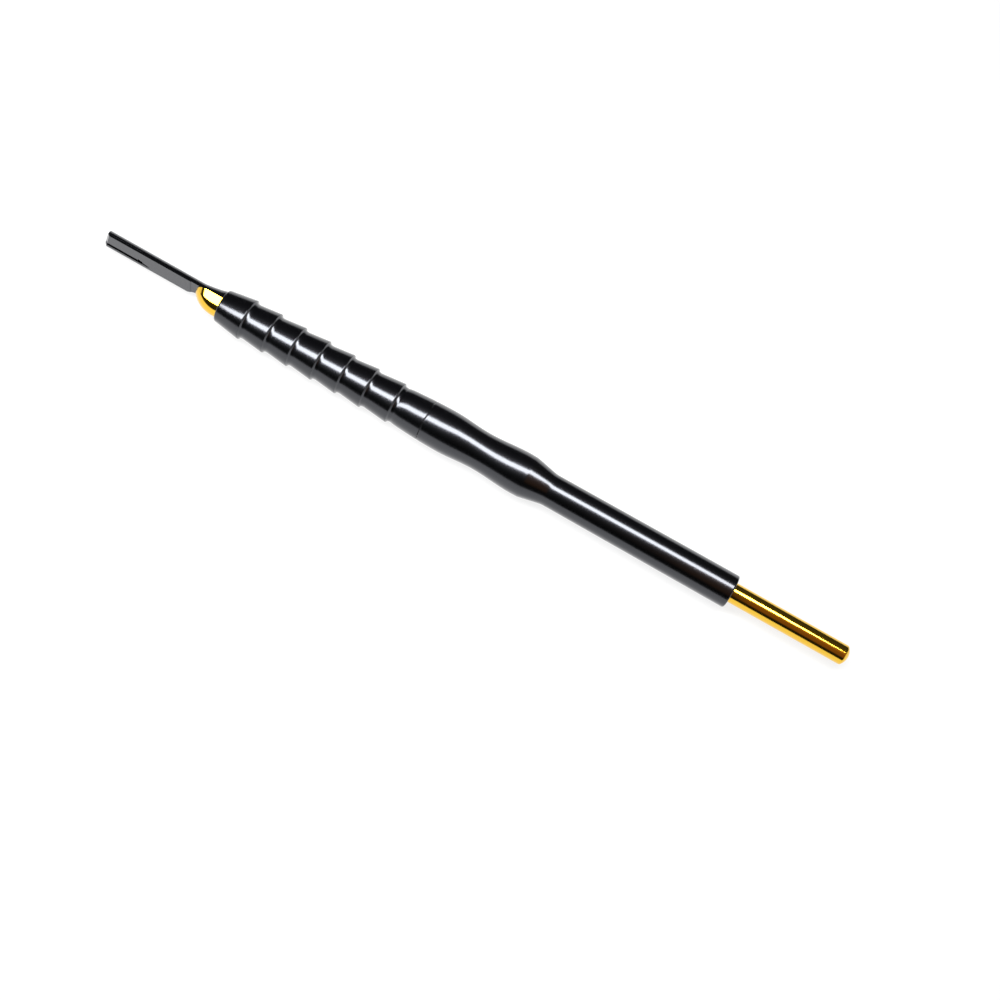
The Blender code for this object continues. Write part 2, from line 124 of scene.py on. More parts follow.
RELIEF_DEPTH = 0.8 * MM
SHARP_EDGE = math.radians(32)

# Ejector nose, half round with its upper side flattened
FACET_ANGLE = math.radians(63)
FACET_REACH = 0.99
NOSE_ARC_POINTS = 96
NOSE_STEPS = 60
NOSE_TIP_ROUND = 0.06 * MM
NOSE_TIP_SHARES = (0.0, 0.3, 0.7)
FACE_GAP = 0.05 * MM

# Return spring
WIRE_DIAMETER = 0.4 * MM
SPRING_TURNS = 20
CLOSED_TURN_PITCH = 1.15 * WIRE_DIAMETER
WIRE_SIDES = 12
POINTS_PER_TURN = 28

# Finishes
BLACK_COLOR = (0.047, 0.049, 0.056, 1)
GOLD_COLOR = (0.84, 0.5, 0.005, 1)
STEEL_COLOR = (0.55, 0.56, 0.58, 1)
MARK_LENGTHENING = 0.01

# Camera, placed as the photograph's
CAMERA_SIDE = Vector((0, -0.449, 0.893))
CAMERA_TILT = math.radians(2.74)
CAMERA_ROLL = math.radians(29.42)
CAMERA_DISTANCE = 300 * MM
CAMERA_LENS = 57.56
TARGET_X = 75.7 * MM
TARGET_DROP = 6.26 * MM

# Light
STRIP_HEIGHT = 204 * MM
STRIP_RISE = 86 * MM
STRIP_SHIFT = -24 * MM
STRIP_LENGTH = 380 * MM
STRIP_WIDTH = 80 * MM
STRIP_POWER = 1.45
WORLD_FILL = 0.3
# Arch seen only in reflections, which paints dark reflections onto the coatings
PAINTED_REFLECTION_ARCH_RADIUS = 600 * MM
PAINTED_REFLECTION_ARCH_HALF_LENGTH = 1000 * MM
PAINTED_REFLECTION_ARCH_STEPS = 64
PAINTED_REFLECTION_ARCH_START = math.radians(5)

# Colours of the painted dark reflections on the arch, by the share of the half turn from the far side over
# the top to the near side
PAINTED_DARK_REFLECTION_COLORS = (
    (0.04, (0.045, 0.045, 0.05)),
    (0.5, (0.045, 0.045, 0.05)),
    (0.8, (0.02, 0.02, 0.02)),
    (0.98, (0.015, 0.015, 0.015)),
)

# Painted brown reflection: browner colours of the arch's rear end, which the push button mirrors
PAINTED_BROWN_REFLECTION_START = 195 * MM
PAINTED_BROWN_REFLECTION_COLORS = (
    (0.04, (0.045, 0.045, 0.04)),
    (0.45, (0.05, 0.045, 0.04)),
    (0.53, (0.4, 0.18, 0.06)),
    (0.64, (0.2, 0.09, 0.04)),
    (0.78, (0.2, 0.09, 0.04)),
    (0.86, (0.015, 0.015, 0.015)),
)

# Floor
FLOOR_SIZE = 6.0
FLOOR_GAP = 0.02 * MM
FLOOR_GLOW = 0.82
FLOOR_COLOR = (0.16, 0.16, 0.16, 1.0)


def clear_scene():
    for obj in list(bpy.data.objects):
        bpy.data.objects.remove(obj, do_unlink=True)


# Reading and refining outlines


def outline_of(node, out):
    """(x, radius) points of a node's outline, in the half plane where the axis out is positive,
    and whether it is closed. The axis out is y or z."""
    mesh = frame["nodes"][node].data
    side = "yz".index(out) + 1
    across = 3 - side
    found = {}
    for vertex in mesh.vertices:
        if abs(vertex.co[across]) < TINY and vertex.co[side] > -TINY:
            found[vertex.index] = (round(vertex.co.x, 7), round(abs(vertex.co[side]), 7))
    links = {}
    for edge in mesh.edges:
        pair = [found.get(index) for index in edge.vertices]
        if None not in pair and pair[0] != pair[1]:
            links.setdefault(pair[0], set()).add(pair[1])
            links.setdefault(pair[1], set()).add(pair[0])
    ends = [point for point, near in links.items() if len(near) == 1]
    point = max(ends or links)
    walk = [point]
    left = set(links) - {point}
    while links[point] & left:
        point = max(links[point] & left)
        walk.append(point)
        left.discard(point)
    return walk, not ends


def turn_at(points, i):
    """The change of direction at a point of an outline, in radians."""
    before = np.subtract(points[i], points[i - 1])
    after = np.subtract(points[(i + 1) % len(points)], points[i])
    cross = before[0] * after[1] - before[1] * after[0]
    return abs(math.atan2(cross, float(np.dot(before, after))))


def step_length(points, i):
    """The length of the step from a point to the next."""
    return math.dist(points[i], points[(i + 1) % len(points)])


def spline_through(points, start_slope, end_slope):
    """Fine points on a cubic spline through points, clamped to a unit direction where one is given."""
    points = np.array(points)
    steps = np.linalg.norm(np.diff(points, axis=0), axis=1)
    count = len(points)
    matrix = np.zeros((count, count))
    right = np.zeros((count, 2))
    for i in range(1, count - 1):
        matrix[i, i - 1] = steps[i]
        matrix[i, i] = 2 * (steps[i - 1] + steps[i])
        matrix[i, i + 1] = steps[i - 1]
        rise_before = (points[i] - points[i - 1]) / steps[i - 1]
        rise_after = (points[i + 1] - points[i]) / steps[i]
        right[i] = 3 * (steps[i] * rise_before + steps[i - 1] * rise_after)
    for row, near, slope in ((0, 1, start_slope), (count - 1, count - 2, end_slope)):
        matrix[row, row] = 1 if slope is not None else 2
        matrix[row, near] = 0 if slope is not None else 1
        step = steps[min(row, near)]
        chord = (points[max(row, near)] - points[min(row, near)]) / step
        right[row] = slope if slope is not None else 3 * chord
    slopes = np.linalg.solve(matrix, right)
    fine = [tuple(points[0])]
    for i, step in enumerate(steps):
        parts = max(2, math.ceil(step / SPLINE_STEP))
        for t in np.arange(1, parts + 1) / parts:
            start = (1 + 2 * t) * (1 - t) ** 2 * points[i] + t * (1 - t) ** 2 * step * slopes[i]
            end = t ** 2 * (3 - 2 * t) * points[i + 1] + t ** 2 * (t - 1) * step * slopes[i + 1]
            fine.append(tuple(start + end))
    return fine


def direction(a, b):
    """The unit direction from one outline point to another."""
    step = np.subtract(b, a)
    return step / np.linalg.norm(step)


def rounded_corner(before, corner, after, limit):
    """Points of an arc that rounds a corner, tangent to both of its sides."""
    reach = min(CORNER_SHARE * math.dist(before, corner), CORNER_SHARE * math.dist(corner, after), limit)
    back = direction(corner, before)
    ahead = direction(corner, after)
    start = corner + back * reach
    end = corner + ahead * reach
    opening = math.acos(max(-1, min(1, float(np.dot(back, ahead)))))
    turn = math.pi - opening
    parts = max(2, math.ceil(turn / ARC_STEP))
    middle = direction(corner, (start + end) / 2)
    centre = corner + middle * reach / math.cos(opening / 2)
    radius = reach * math.tan(opening / 2)
    points = []
    for i in range(parts + 1):
        angle = turn * (i / parts - 0.5)
        swing = math.sin(angle) * (end - start) / np.linalg.norm(end - start)
        points.append(tuple(centre - middle * radius * math.cos(angle) + swing * radius))
    return points


def corner_limit(turn):
    """How far from a corner its rounding may start."""
    if turn > TRUE_CORNER:
        return EDGE_ROUND
    if turn > GENTLE_TURN:
        return BLEND_ROUND / 2
    return BLEND_ROUND


def refined(points, closed):
    """An outline with splines along its gentle runs of short steps, and rounded corners elsewhere."""
    count = len(points)
    if closed:
        sharpest = max(range(count), key=lambda i: turn_at(points, i))
        points = points[sharpest:] + points[:sharpest + 1]
        count += 1
    turns = [turn_at(points, i) if 0 < i < count - 1 else math.pi for i in range(count)]
    short = [step_length(points, i) < LONG_STRAIGHT for i in range(count - 1)]
    fine = [points[0]]
    i = 0
    while i < count - 1:
        end = i + 1
        while end < count - 1 and short[end - 1] and short[end] and turns[end] < GENTLE_TURN:
            end += 1
        clamp_start = i > 0 and turns[i] < GENTLE_TURN
        clamp_end = end < count - 1 and turns[end] < GENTLE_TURN
        if end - i > 1:
            start_slope = direction(points[i - 1], points[i]) if clamp_start else None
            end_slope = direction(points[end], points[end + 1]) if clamp_end else None
            if points[i][1] < TINY:
                start_slope = np.array((0.0, 1.0))
            fine += spline_through(points[i:end + 1], start_slope, end_slope)[1:-1]
        spline_ends = end - i > 1
        spline_follows = end < count - 2 and short[end] and short[end + 1]
        if end == count - 1 or (clamp_end and (spline_ends or spline_follows)):
            fine.append(points[end])
        else:
            fine += rounded_corner(points[end - 1], points[end], points[end + 1], corner_limit(turns[end]))
        i = end
    return fine


# Pieces


def finish_piece(mesh, name, body, nodes, material):
    """Makes a piece of a mesh that stands for CAD nodes and rides on a body."""
    mesh.materials.append(material)
    mesh.shade_smooth()
    obj = bpy.data.objects.new(name, mesh)
    bpy.context.scene.collection.objects.link(obj)
    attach(obj, body)
    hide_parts(*nodes)
    return obj


def turned_mesh(name, outline, closed):
    """A mesh turned about X from an outline of (x, radius) points."""
    shape = bmesh.new()
    points = outline[:-1] if closed else outline
    row = [shape.verts.new((x, 0, radius)) for x, radius in points]
    for a, b in zip(row, row[1:]):
        shape.edges.new((a, b))
    if closed:
        shape.edges.new((row[-1], row[0]))
    geometry = list(shape.verts) + list(shape.edges)
    bmesh.ops.spin(shape, geom=geometry, axis=(1, 0, 0), cent=(0, 0, 0), angle=2 * math.pi,
                   steps=TURN_STEPS, use_merge=True)
    bmesh.ops.remove_doubles(shape, verts=shape.verts, dist=TINY / 10)
    bmesh.ops.recalc_face_normals(shape, faces=shape.faces)
    mesh = bpy.data.meshes.new(name)
    shape.to_mesh(mesh)
    shape.free()
    return mesh


def turned_piece(name, node, body, material):
    """A fine turned piece over a turned CAD node."""
    outline, closed = outline_of(node, "z")
    if not closed:
        outline = to_axis(outline)
    mesh = turned_mesh(name, refined(outline, closed), closed)
    finish_piece(mesh, name, body, [node], material)


def to_axis(outline):
    """An open outline with its two ends brought to the axis."""
    first = [(outline[0][0], 0.0)] * (outline[0][1] > TINY)
    last = [(outline[-1][0], 0.0)] * (outline[-1][1] > TINY)
    return first + outline + last


def loft_mesh(name, sections):
    """A closed loft through rings of as many points each, with flat ends."""
    shape = bmesh.new()
    rows = [[shape.verts.new(point) for point in section] for section in sections]
    count = len(rows[0])
    for front, rear in zip(rows, rows[1:]):
        for i in range(count):
            j = (i + 1) % count
            shape.faces.new((front[i], front[j], rear[j], rear[i]))
    ends = [shape.faces.new(rows[0]), shape.faces.new(rows[-1])]
    bmesh.ops.triangulate(shape, faces=ends)
    bmesh.ops.remove_doubles(shape, verts=shape.verts, dist=TINY / 10)
    bmesh.ops.recalc_face_normals(shape, faces=shape.faces)
    if shape.calc_volume(signed=True) < 0:
        bmesh.ops.reverse_faces(shape, faces=shape.faces)
    mesh = bpy.data.meshes.new(name)
    shape.to_mesh(mesh)
    shape.free()
    return mesh


def eased(share):
    """A smooth step from 0 to 1."""
    share = min(max(share, 0), 1)
    return share * share * (3 - 2 * share)


def trough(offset, width, depth, wall):
    """Depth of a groove with steep walls, at an offset across from its centre line."""
    return depth * eased((width / 2 - abs(offset)) / wall + 0.5)


def track_depth(from_tip):
    """How far the flat is cut back for the nose to slide on."""
    return TRACK_DROP * eased((from_tip - TRACK_FROM_TIP) / STEP_BLEND + 0.5)


def flat_depth(from_tip, z):
    """How far the flat is cut back at a place: the lower groove, its run-out and the nose's track."""
    depth = track_depth(from_tip)
    cutter = eased((GROOVE_LENGTH - from_tip) / (0.5 * GROOVE_WIDTH) + 0.5)
    depth = max(depth, cutter * trough(z + GROOVE_OFFSET, GROOVE_WIDTH, GROOVE_DEPTH, GROOVE_WALL))
    past = (from_tip - GROOVE_LENGTH + GROOVE_WIDTH) / RUN_OUT_LENGTH
    if 0 < past < 1:
        centre = -GROOVE_OFFSET + RUN_OUT_SHIFT - 2 * RUN_OUT_SHIFT * past
        lift = math.sqrt(1 - past)
        width = GROOVE_WIDTH * lift
        wall = width / RUN_OUT_WALL_DIVISOR
        depth = max(depth, RUN_OUT_DEPTH * lift * trough(z - centre, width, 1, wall))
    return depth


def relief_limit(from_tip, radius):
    """How far down the tang reaches at the oblique relief in its lower edge."""
    past = from_tip - RELIEF_FROM_TIP
    if past <= 0:
        return radius
    cut = min(past / RELIEF_RAMP, 1) * RELIEF_DEPTH
    back = past - RELIEF_RAMP - RELIEF_FLOOR
    return radius - max(0, cut - max(0, back))


def tang_section(x, from_tip, radius):
    """One cross-section of the tang: the flat with its groove, then the round back."""
    lowest = -relief_limit(from_tip, radius)
    base = track_depth(from_tip)
    half = math.sqrt(radius ** 2 - base ** 2)
    section = []
    for z in flat_stations(half):
        z = max(z, lowest)
        section.append((x, flat_depth(from_tip, z), z))
    start = math.asin(base / radius)
    for i in range(1, TANG_ARC_POINTS):
        angle = start + (math.pi - 2 * start) * i / TANG_ARC_POINTS
        z = max(-radius * math.cos(angle), lowest)
        section.append((x, radius * math.sin(angle), z))
    return section


def spaced(spans):
    """Values from the first span's start, in even steps over each span of (start, end, steps)."""
    values = [spans[0][0]]
    for start, end, count in spans:
        values += [start + (end - start) * (i + 1) / count for i in range(count)]
    return values


def flat_stations(half):
    """Places across the flat from its upper to its lower edge, closer together at the groove."""
    near = -GROOVE_OFFSET + GROOVE_WIDTH / 2
    far = -GROOVE_OFFSET - GROOVE_WIDTH / 2
    wall = GROOVE_WALL / 2
    blend = 0.25 * GROOVE_WIDTH
    return spaced((
        (half, near + blend, 14),
        (near + blend, near + wall, 8),
        (near + wall, near - wall, 3),
        (near - wall, far + wall, 20),
        (far + wall, far - wall, 3),
        (far - wall, far - blend, 8),
        (far - blend, -half, 6),
    ))


def tang_steps(length):
    """Distances from the tip where the tang's section is drawn."""
    run_out = GROOVE_LENGTH + RUN_OUT_LENGTH
    relief_end = RELIEF_FROM_TIP + RELIEF_RAMP + RELIEF_FLOOR + RELIEF_DEPTH
    return spaced((
        (0, GROOVE_LENGTH - GROOVE_WIDTH, 24),
        (GROOVE_LENGTH - GROOVE_WIDTH, run_out, 48),
        (run_out, RELIEF_FROM_TIP, 12),
        (RELIEF_FROM_TIP, TRACK_FROM_TIP - STEP_BLEND, 6),
        (TRACK_FROM_TIP - STEP_BLEND, TRACK_FROM_TIP + STEP_BLEND, 12),
        (TRACK_FROM_TIP + STEP_BLEND, relief_end, 24),
        (relief_end, length, 40),
    ))


def prism(name, low, high):
    """A solid between two outlines of as many (x, y, z) points."""
    count = len(low)
    faces = [tuple(reversed(range(count))), tuple(range(count, 2 * count))]
    for i in range(count):
        j = (i + 1) % count
        faces.append((i, j, j + count, i + count))
    mesh = bpy.data.meshes.new(name)
    mesh.from_pydata(low + high, [], faces)
    return mesh


def combined(name, mesh, others, operation):
    """One closed mesh of a mesh and others, joined or cut by them."""
    base = bpy.data.objects.new(name, mesh)
    bpy.context.scene.collection.objects.link(base)
    helpers = [base]
    for other in others:
        helper = bpy.data.objects.new(other.name, other)
        bpy.context.scene.collection.objects.link(helper)
        helpers.append(helper)
        change = base.modifiers.new(other.name, "BOOLEAN")
        change.operation = operation
        change.object = helper
    graph = bpy.context.evaluated_depsgraph_get()
    result = bpy.data.meshes.new_from_object(base.evaluated_get(graph))
    for helper in helpers:
        bpy.data.objects.remove(helper)
    return result


def tang_cutters(tip, radius):
    """What cuts the tang's loft: the oblique tip with its bevel, and the groove in the upper edge."""
    reach = 2 * radius
    outline = [
        (-reach, -TIP_BEVEL),
        (2 * TIP_BEVEL, -TIP_BEVEL),
        (0, TIP_BEVEL),
        (0, reach),
        (-reach, reach),
    ]
    low = [(tip + TIP_SLANT * (radius - reach) + x, y, -reach) for x, y in outline]
    high = [(tip + TIP_SLANT * (radius + reach) + x, y, reach) for x, y in outline]
    tip_cut = prism("tip_cut", low, high)
    floor = radius - SIDE_GROOVE_DEPTH
    wide = SIDE_GROOVE_WIDTH + (reach - floor) * math.tan(SIDE_GROOVE_DRAFT)
    side = [(-reach, 0), (GROOVE_LENGTH, 0), (GROOVE_LENGTH, 1), (-reach, 1)]
    low = [(tip + x, LIP_THICKNESS + share * SIDE_GROOVE_WIDTH, floor) for x, share in side]
    high = [(tip + x, LIP_THICKNESS + share * wide, reach) for x, share in side]
    return [tip_cut, prism("side_cut", low, high)]


def build_tang(material):
    """The half-round tang, with its grooved seat, relief and track."""
    outline, _ = outline_of("blade_tang", "y")
    low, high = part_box("blade_tang")
    outline = [point for point in sorted(outline) if point[1] > TINY]
    fine = refined([(low.x, 0.0)] + outline, False)
    xs = [x for x, _ in fine]
    radii = [radius for _, radius in fine]
    radius = float(np.interp(low.x + GROOVE_LENGTH, xs, radii))
    sections = []
    for from_tip in tang_steps(high.x - low.x):
        x = low.x + from_tip
        there = max(float(np.interp(x, xs, radii)), radius)
        sections.append(tang_section(x, from_tip, there))
    mesh = combined("tang", loft_mesh("tang_loft", sections), tang_cutters(low.x, radius), "DIFFERENCE")
    mesh.materials.clear()
    finish_piece(mesh, "tang", "handle", ["blade_tang"], material)
    mesh.set_sharp_from_angle(angle=SHARP_EDGE)


def ring_sizes(node, highest_x):
    """(x, half width, height) of each ring of points that the lofted nose has before highest_x."""
    rings = {}
    for vertex in frame["nodes"][node].data.vertices:
        if vertex.co.x < highest_x:
            rings.setdefault(round(vertex.co.x, 6), []).append(vertex.co)
    sizes = []
    for x, ring in sorted(rings.items()):
        half_width = max(abs(point.z) for point in ring)
        sizes.append((x, half_width, -FACE_GAP - min(point.y for point in ring)))
    return sizes


def nose_section(x, half_width, height):
    """Half an ellipse under the seat, flattened on its upper side."""
    section = []
    for i in range(NOSE_ARC_POINTS + 1):
        angle = math.pi / 2 - math.pi * i / NOSE_ARC_POINTS
        share = math.cos(angle - FACET_ANGLE)
        flattened = angle >= FACET_ANGLE or share > FACET_REACH
        reach = FACET_REACH / share if flattened else 1
        y = -FACE_GAP - height * reach * max(math.cos(angle), 0)
        section.append((x, y, half_width * reach * math.sin(angle)))
    return section


def nose_sections(sizes, end):
    """Fine sections of the nose from its rounded tip to an end inside the hub."""
    xs, widths, heights = zip(*sizes)
    fine_width = spline_through(list(zip(xs, widths)), None, (1.0, 0.0))
    fine_height = spline_through(list(zip(xs, heights)), None, (1.0, 0.0))
    sections = []
    for share in NOSE_TIP_SHARES:
        inset = NOSE_TIP_ROUND * (1 - math.sqrt(share * (2 - share)))
        x = xs[0] + NOSE_TIP_ROUND * share
        sections.append(nose_section(x, widths[0] - inset, heights[0] - inset))
    for i in range(1, NOSE_STEPS + 1):
        x = xs[0] + NOSE_TIP_ROUND + (xs[-1] - xs[0] - NOSE_TIP_ROUND) * (i / NOSE_STEPS) ** 2
        half_width = float(np.interp(x, *zip(*fine_width)))
        height = float(np.interp(x, *zip(*fine_height)))
        sections.append(nose_section(x, half_width, height))
    sections.append(nose_section(end, widths[-1], heights[-1]))
    return sections


def build_nose(material):
    """The ejector's half-round nose with its shank and hub."""
    outline, _ = outline_of("ejector_nose", "y")
    hub_front = min(x for x, _ in outline)
    sizes = ring_sizes("ejector_nose", hub_front - MM)
    socket_end = min(x for x, _ in outline if x > hub_front + TINY)
    end = (hub_front + socket_end) / 2
    loft = loft_mesh("nose_loft", nose_sections(sizes, end))
    hub = turned_mesh("nose_hub", refined(to_axis(outline), False), False)
    mesh = combined("nose", loft, [hub], "UNION")
    mesh.materials.clear()
    finish_piece(mesh, "nose", "ejector", ["ejector_nose"], material)
    mesh.set_sharp_from_angle(angle=SHARP_EDGE)


def helix(length, radius):
    """Centre line of the spring: a closed turn at each end and open turns between."""
    open_pitch = (length - 2 * CLOSED_TURN_PITCH) / (SPRING_TURNS - 2)
    points = []
    for i in range(SPRING_TURNS * POINTS_PER_TURN + 1):
        turn = i / POINTS_PER_TURN
        first = min(turn, 1) * CLOSED_TURN_PITCH
        middle = min(max(turn - 1, 0), SPRING_TURNS - 2) * open_pitch
        last = max(turn - SPRING_TURNS + 1, 0) * CLOSED_TURN_PITCH
        angle = 2 * math.pi * turn
        points.append(Vector((first + middle + last, radius * math.cos(angle), radius * math.sin(angle))))
    return points


def build_spring(material):
    """The return spring, which the slide squeezes against the guide bush."""
    low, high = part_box("return_spring")
    radius = high.y - WIRE_DIAMETER / 2
    length = high.x - low.x - WIRE_DIAMETER
    start = low.x + WIRE_DIAMETER / 2
    points = helix(length, radius)
    sections = []
    for i, point in enumerate(points):
        ahead = points[min(i + 1, len(points) - 1)] - points[max(i - 1, 0)]
        out = Vector((0, point.y, point.z)).normalized()
        side = ahead.normalized().cross(out).normalized()
        ring = []
        for k in range(WIRE_SIDES):
            angle = 2 * math.pi * k / WIRE_SIDES
            offset = (out * math.cos(angle) + side * math.sin(angle)) * WIRE_DIAMETER / 2
            ring.append(point + offset + Vector((start, 0, 0)))
        sections.append(ring)
    mesh = loft_mesh("spring", sections)
    spring = finish_piece(mesh, "spring", "handle", ["return_spring"], material)
    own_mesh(spring)


# Materials


def new_material(name):
    material = bpy.data.materials.new(name)
    material.use_nodes = True
    return material, material.node_tree, material.node_tree.nodes["Principled BSDF"]


def turning_marks(tree, shader, scale, distance, strength):
    """Fine rings round X that a lathe tool leaves, as bump."""
    place = tree.nodes.new("ShaderNodeTexCoord")
    stretch = tree.nodes.new("ShaderNodeMapping")
    across = scale * MARK_LENGTHENING
    stretch.inputs["Scale"].default_value = (scale, across, across)
    noise = tree.nodes.new("ShaderNodeTexNoise")
    noise.inputs["Scale"].default_value = 1.0
    noise.inputs["Detail"].default_value = 3.0
    bump = tree.nodes.new("ShaderNodeBump")
    bump.inputs["Strength"].default_value = strength
    bump.inputs["Distance"].default_value = distance
    tree.links.new(place.outputs["Object"], stretch.inputs["Vector"])
    tree.links.new(stretch.outputs["Vector"], noise.inputs["Vector"])
    tree.links.new(noise.outputs["Fac"], bump.inputs["Height"])
    tree.links.new(bump.outputs["Normal"], shader.inputs["Normal"])


def black_coating():
    """Hard black coating over turned steel: dark, glossy, with a cool tint in its reflections."""
    material, tree, shader = new_material("black_coating")
    shader.inputs["Base Color"].default_value = BLACK_COLOR
    shader.inputs["Metallic"].default_value = 1.0
    shader.inputs["Roughness"].default_value = 0.23
    shader.inputs["Coat Weight"].default_value = 0.6
    shader.inputs["Coat Roughness"].default_value = 0.14
    turning_marks(tree, shader, 6000, 0.0012 * MM, 0.6)
    return material


def gold_coating():
    """Polished gold-coloured coating, with a clear top that turns bright reflections white."""
    material, tree, shader = new_material("gold_coating")
    shader.inputs["Base Color"].default_value = GOLD_COLOR
    shader.inputs["Metallic"].default_value = 1.0
    shader.inputs["Roughness"].default_value = 0.12
    shader.inputs["Coat Weight"].default_value = 0.45
    shader.inputs["Coat IOR"].default_value = 2.0
    shader.inputs["Coat Roughness"].default_value = 0.1
    turning_marks(tree, shader, 4000, 0.0001 * MM, 0.2)
    return material


def plain_steel():
    material, tree, shader = new_material("plain_steel")
    shader.inputs["Base Color"].default_value = STEEL_COLOR
    shader.inputs["Metallic"].default_value = 1.0
    shader.inputs["Roughness"].default_value = 0.28
    turning_marks(tree, shader, 5000, 0.001 * MM, 0.5)
    return material


# Stage


def aimed(name, data, location, right, up):
    """An object whose own X and Y axes point right and up, and that looks along its -Z."""
    obj = bpy.data.objects.new(name, data)
    bpy.context.scene.collection.objects.link(obj)
    axes = Matrix((right, up, right.cross(up))).transposed()
    obj.matrix_world = Matrix.Translation(location) @ axes.to_4x4()
    return obj


def view_axes():
    """The photograph's right, up and towards-the-camera directions, and its up before the roll."""
    side = CAMERA_SIDE.normalized()
    length = Vector((1, 0, 0))
    back = side * math.cos(CAMERA_TILT) + length * math.sin(CAMERA_TILT)
    along = length * math.cos(CAMERA_TILT) - side * math.sin(CAMERA_TILT)
    across = back.cross(along)
    right = along * math.cos(CAMERA_ROLL) + across * math.sin(CAMERA_ROLL)
    up = across * math.cos(CAMERA_ROLL) - along * math.sin(CAMERA_ROLL)
    return right, up, back, across


def target():
    across = view_axes()[3]
    return Vector((TARGET_X, 0, 0)) - across * TARGET_DROP


def build_camera():
    right, up, back, _ = view_axes()
    data = bpy.data.cameras.new("camera")
    data.lens = CAMERA_LENS
    data.clip_start = 10 * MM
    camera = aimed("camera", data, target() + back * CAMERA_DISTANCE, right, up)
    bpy.context.scene.camera = camera


def build_light():
    """A soft strip light over the handle, along the picture's width, hidden from the camera."""
    right, up, back, _ = view_axes()
    middle = target() + back * STRIP_HEIGHT + up * STRIP_RISE + right * STRIP_SHIFT
    data = bpy.data.lights.new("strip_light", "AREA")
    data.shape = "RECTANGLE"
    data.size = STRIP_LENGTH
    data.size_y = STRIP_WIDTH
    data.energy = STRIP_POWER
    light = aimed("strip_light", data, middle, right, up)
    light.visible_camera = False


def background_ray(tree):
    """1 for camera, glossy and transmission rays, otherwise 0."""
    path = tree.nodes.new("ShaderNodeLightPath")
    total = path.outputs["Is Camera Ray"]
    for ray in ("Is Glossy Ray", "Is Transmission Ray"):
        larger = tree.nodes.new("ShaderNodeMath")
        larger.operation = "MAXIMUM"
        tree.links.new(total, larger.inputs[0])
        tree.links.new(path.outputs[ray], larger.inputs[1])
        total = larger.outputs[0]
    return total


def build_world():
    """A white background, and a dim even fill for what it lights."""
    world = bpy.data.worlds.new("studio")
    world.use_nodes = True
    tree = world.node_tree
    tree.nodes.clear()
    seen = tree.nodes.new("ShaderNodeBackground")
    seen.inputs["Color"].default_value = (1, 1, 1, 1)
    fill = tree.nodes.new("ShaderNodeBackground")
    fill.inputs["Color"].default_value = (WORLD_FILL, WORLD_FILL, WORLD_FILL, 1)
    mix = tree.nodes.new("ShaderNodeMixShader")
    output = tree.nodes.new("ShaderNodeOutputWorld")
    tree.links.new(background_ray(tree), mix.inputs["Fac"])
    tree.links.new(fill.outputs[0], mix.inputs[1])
    tree.links.new(seen.outputs[0], mix.inputs[2])
    tree.links.new(mix.outputs[0], output.inputs["Surface"])
    bpy.context.scene.world = world


def build_floor():
    """A pale floor under the handle: it glows white as the background and keeps the handle's shadow."""
    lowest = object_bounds()[0].z
    mesh = bpy.data.meshes.new("floor")
    half = FLOOR_SIZE / 2
    corners = [(-half, -half, 0), (half, -half, 0), (half, half, 0), (-half, half, 0)]
    mesh.from_pydata(corners, [], [(0, 1, 2, 3)])
    floor = bpy.data.objects.new("floor", mesh)
    bpy.context.scene.collection.objects.link(floor)
    floor.location.z = lowest - FLOOR_GAP
    material, tree, shader = new_material("floor")
    shader.inputs["Base Color"].default_value = FLOOR_COLOR
    shader.inputs["Roughness"].default_value = 0.9
    shader.inputs["Specular IOR Level"].default_value = 0.0
    shader.inputs["Emission Color"].default_value = (1, 1, 1, 1)
    glow = tree.nodes.new("ShaderNodeMath")
    glow.operation = "MULTIPLY"
    glow.inputs[1].default_value = FLOOR_GLOW
    tree.links.new(background_ray(tree), glow.inputs[0])
    tree.links.new(glow.outputs[0], shader.inputs["Emission Strength"])
    mesh.materials.append(material)


def color_ramp(tree, share, colors):
    """The colour that a table of (share, colour) gives for a share."""
    ramp = tree.nodes.new("ShaderNodeValToRGB")
    while len(ramp.color_ramp.elements) < len(colors):
        ramp.color_ramp.elements.new(0.5)
    for element, (position, color) in zip(ramp.color_ramp.elements, colors):
        element.position = position
        element.color = (*color, 1)
    tree.links.new(share, ramp.inputs["Fac"])
    return ramp.outputs["Color"]


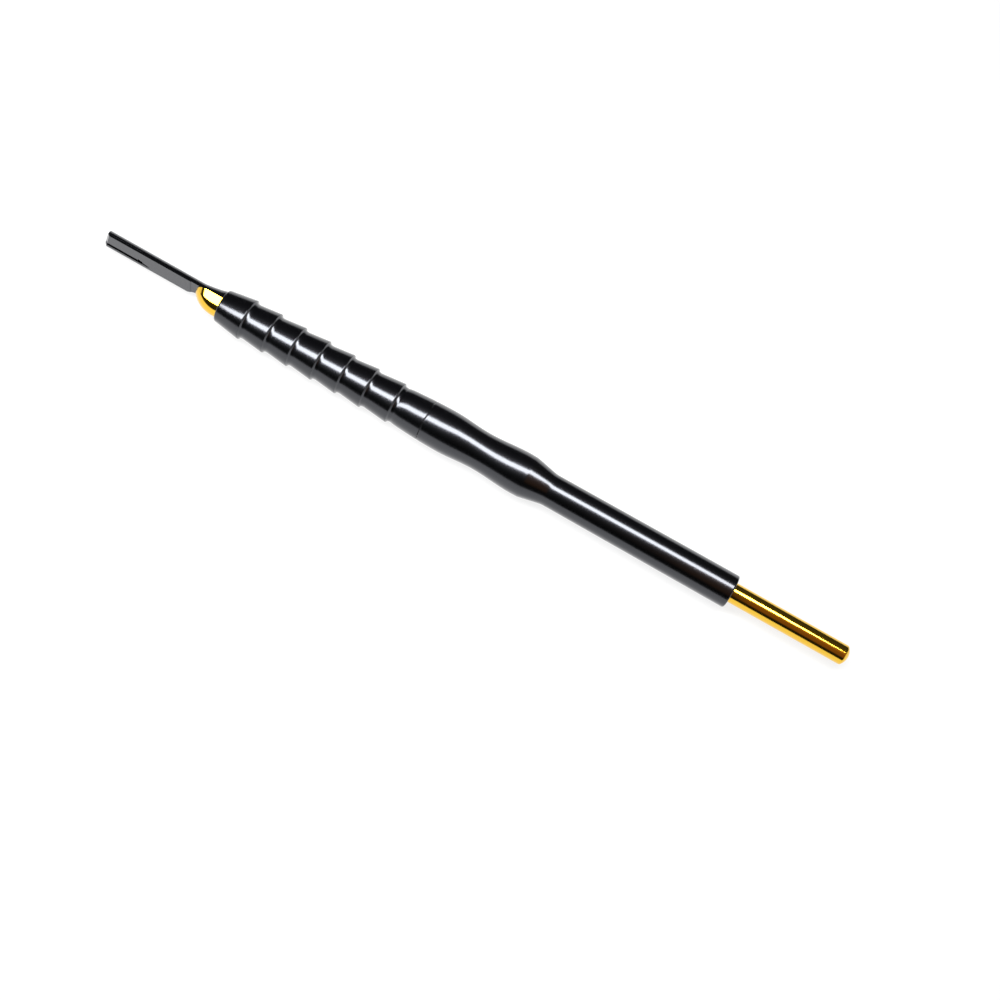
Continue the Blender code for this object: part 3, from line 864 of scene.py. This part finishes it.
def build_painted_reflection_arch():
    """A dark arch over the handle, browner at its rear end and seen only in reflections: it paints dark
    reflections into the coatings, and a painted brown reflection at its rear end. It keeps the black
    coating black."""
    shape = bmesh.new()
    rows = []
    for x in (-PAINTED_REFLECTION_ARCH_HALF_LENGTH, PAINTED_REFLECTION_ARCH_HALF_LENGTH):
        row = []
        for i in range(PAINTED_REFLECTION_ARCH_STEPS + 1):
            angle = PAINTED_REFLECTION_ARCH_START + (math.pi - PAINTED_REFLECTION_ARCH_START) * i / PAINTED_REFLECTION_ARCH_STEPS
            row.append(shape.verts.new((x, PAINTED_REFLECTION_ARCH_RADIUS * math.cos(angle), PAINTED_REFLECTION_ARCH_RADIUS * math.sin(angle))))
        rows.append(row)
    for i in range(PAINTED_REFLECTION_ARCH_STEPS):
        shape.faces.new((rows[0][i], rows[0][i + 1], rows[1][i + 1], rows[1][i]))
    mesh = bpy.data.meshes.new("painted_reflection_arch")
    shape.to_mesh(mesh)
    shape.free()
    painted_reflection_arch = bpy.data.objects.new("painted_reflection_arch", mesh)
    bpy.context.scene.collection.objects.link(painted_reflection_arch)
    # Seen only by glossy rays: its glowing colours are painted reflections, not a lamp
    painted_reflection_arch.visible_camera = False
    painted_reflection_arch.visible_diffuse = False
    painted_reflection_arch.visible_shadow = False
    painted_reflection_arch.visible_transmission = False
    material = bpy.data.materials.new("painted_reflection_arch")
    material.use_nodes = True
    tree = material.node_tree
    tree.nodes.clear()
    place = tree.nodes.new("ShaderNodeTexCoord")
    parts = tree.nodes.new("ShaderNodeSeparateXYZ")
    angle = tree.nodes.new("ShaderNodeMath")
    angle.operation = "ARCTAN2"
    share = tree.nodes.new("ShaderNodeMath")
    share.operation = "DIVIDE"
    share.inputs[1].default_value = math.pi
    # Past this x the arch paints a brown reflection for the push button
    painted_brown_mask = tree.nodes.new("ShaderNodeMath")
    painted_brown_mask.operation = "GREATER_THAN"
    painted_brown_mask.inputs[1].default_value = PAINTED_BROWN_REFLECTION_START
    choice = tree.nodes.new("ShaderNodeMixRGB")
    glow = tree.nodes.new("ShaderNodeEmission")
    output = tree.nodes.new("ShaderNodeOutputMaterial")
    tree.links.new(place.outputs["Object"], parts.inputs["Vector"])
    tree.links.new(parts.outputs["Z"], angle.inputs[0])
    tree.links.new(parts.outputs["Y"], angle.inputs[1])
    tree.links.new(angle.outputs[0], share.inputs[0])
    tree.links.new(parts.outputs["X"], painted_brown_mask.inputs[0])
    tree.links.new(painted_brown_mask.outputs[0], choice.inputs[0])
    tree.links.new(color_ramp(tree, share.outputs[0], PAINTED_DARK_REFLECTION_COLORS), choice.inputs[1])
    tree.links.new(color_ramp(tree, share.outputs[0], PAINTED_BROWN_REFLECTION_COLORS), choice.inputs[2])
    tree.links.new(choice.outputs[0], glow.inputs["Color"])
    tree.links.new(glow.outputs[0], output.inputs["Surface"])
    mesh.materials.append(material)


clear_scene()
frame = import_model()
bpy.context.scene.view_settings.view_transform = "Standard"

black = black_coating()
gold = gold_coating()
steel = plain_steel()
build_tang(black)
turned_piece("grip", "front_grip", "handle", black)
turned_piece("barrel", "rear_barrel", "handle", black)
turned_piece("bush", "guide_bush", "handle", steel)
turned_piece("rod", "push_rod", "ejector", gold)
build_nose(gold)
build_spring(steel)

build_camera()
build_light()
build_world()
build_floor()
build_painted_reflection_arch()
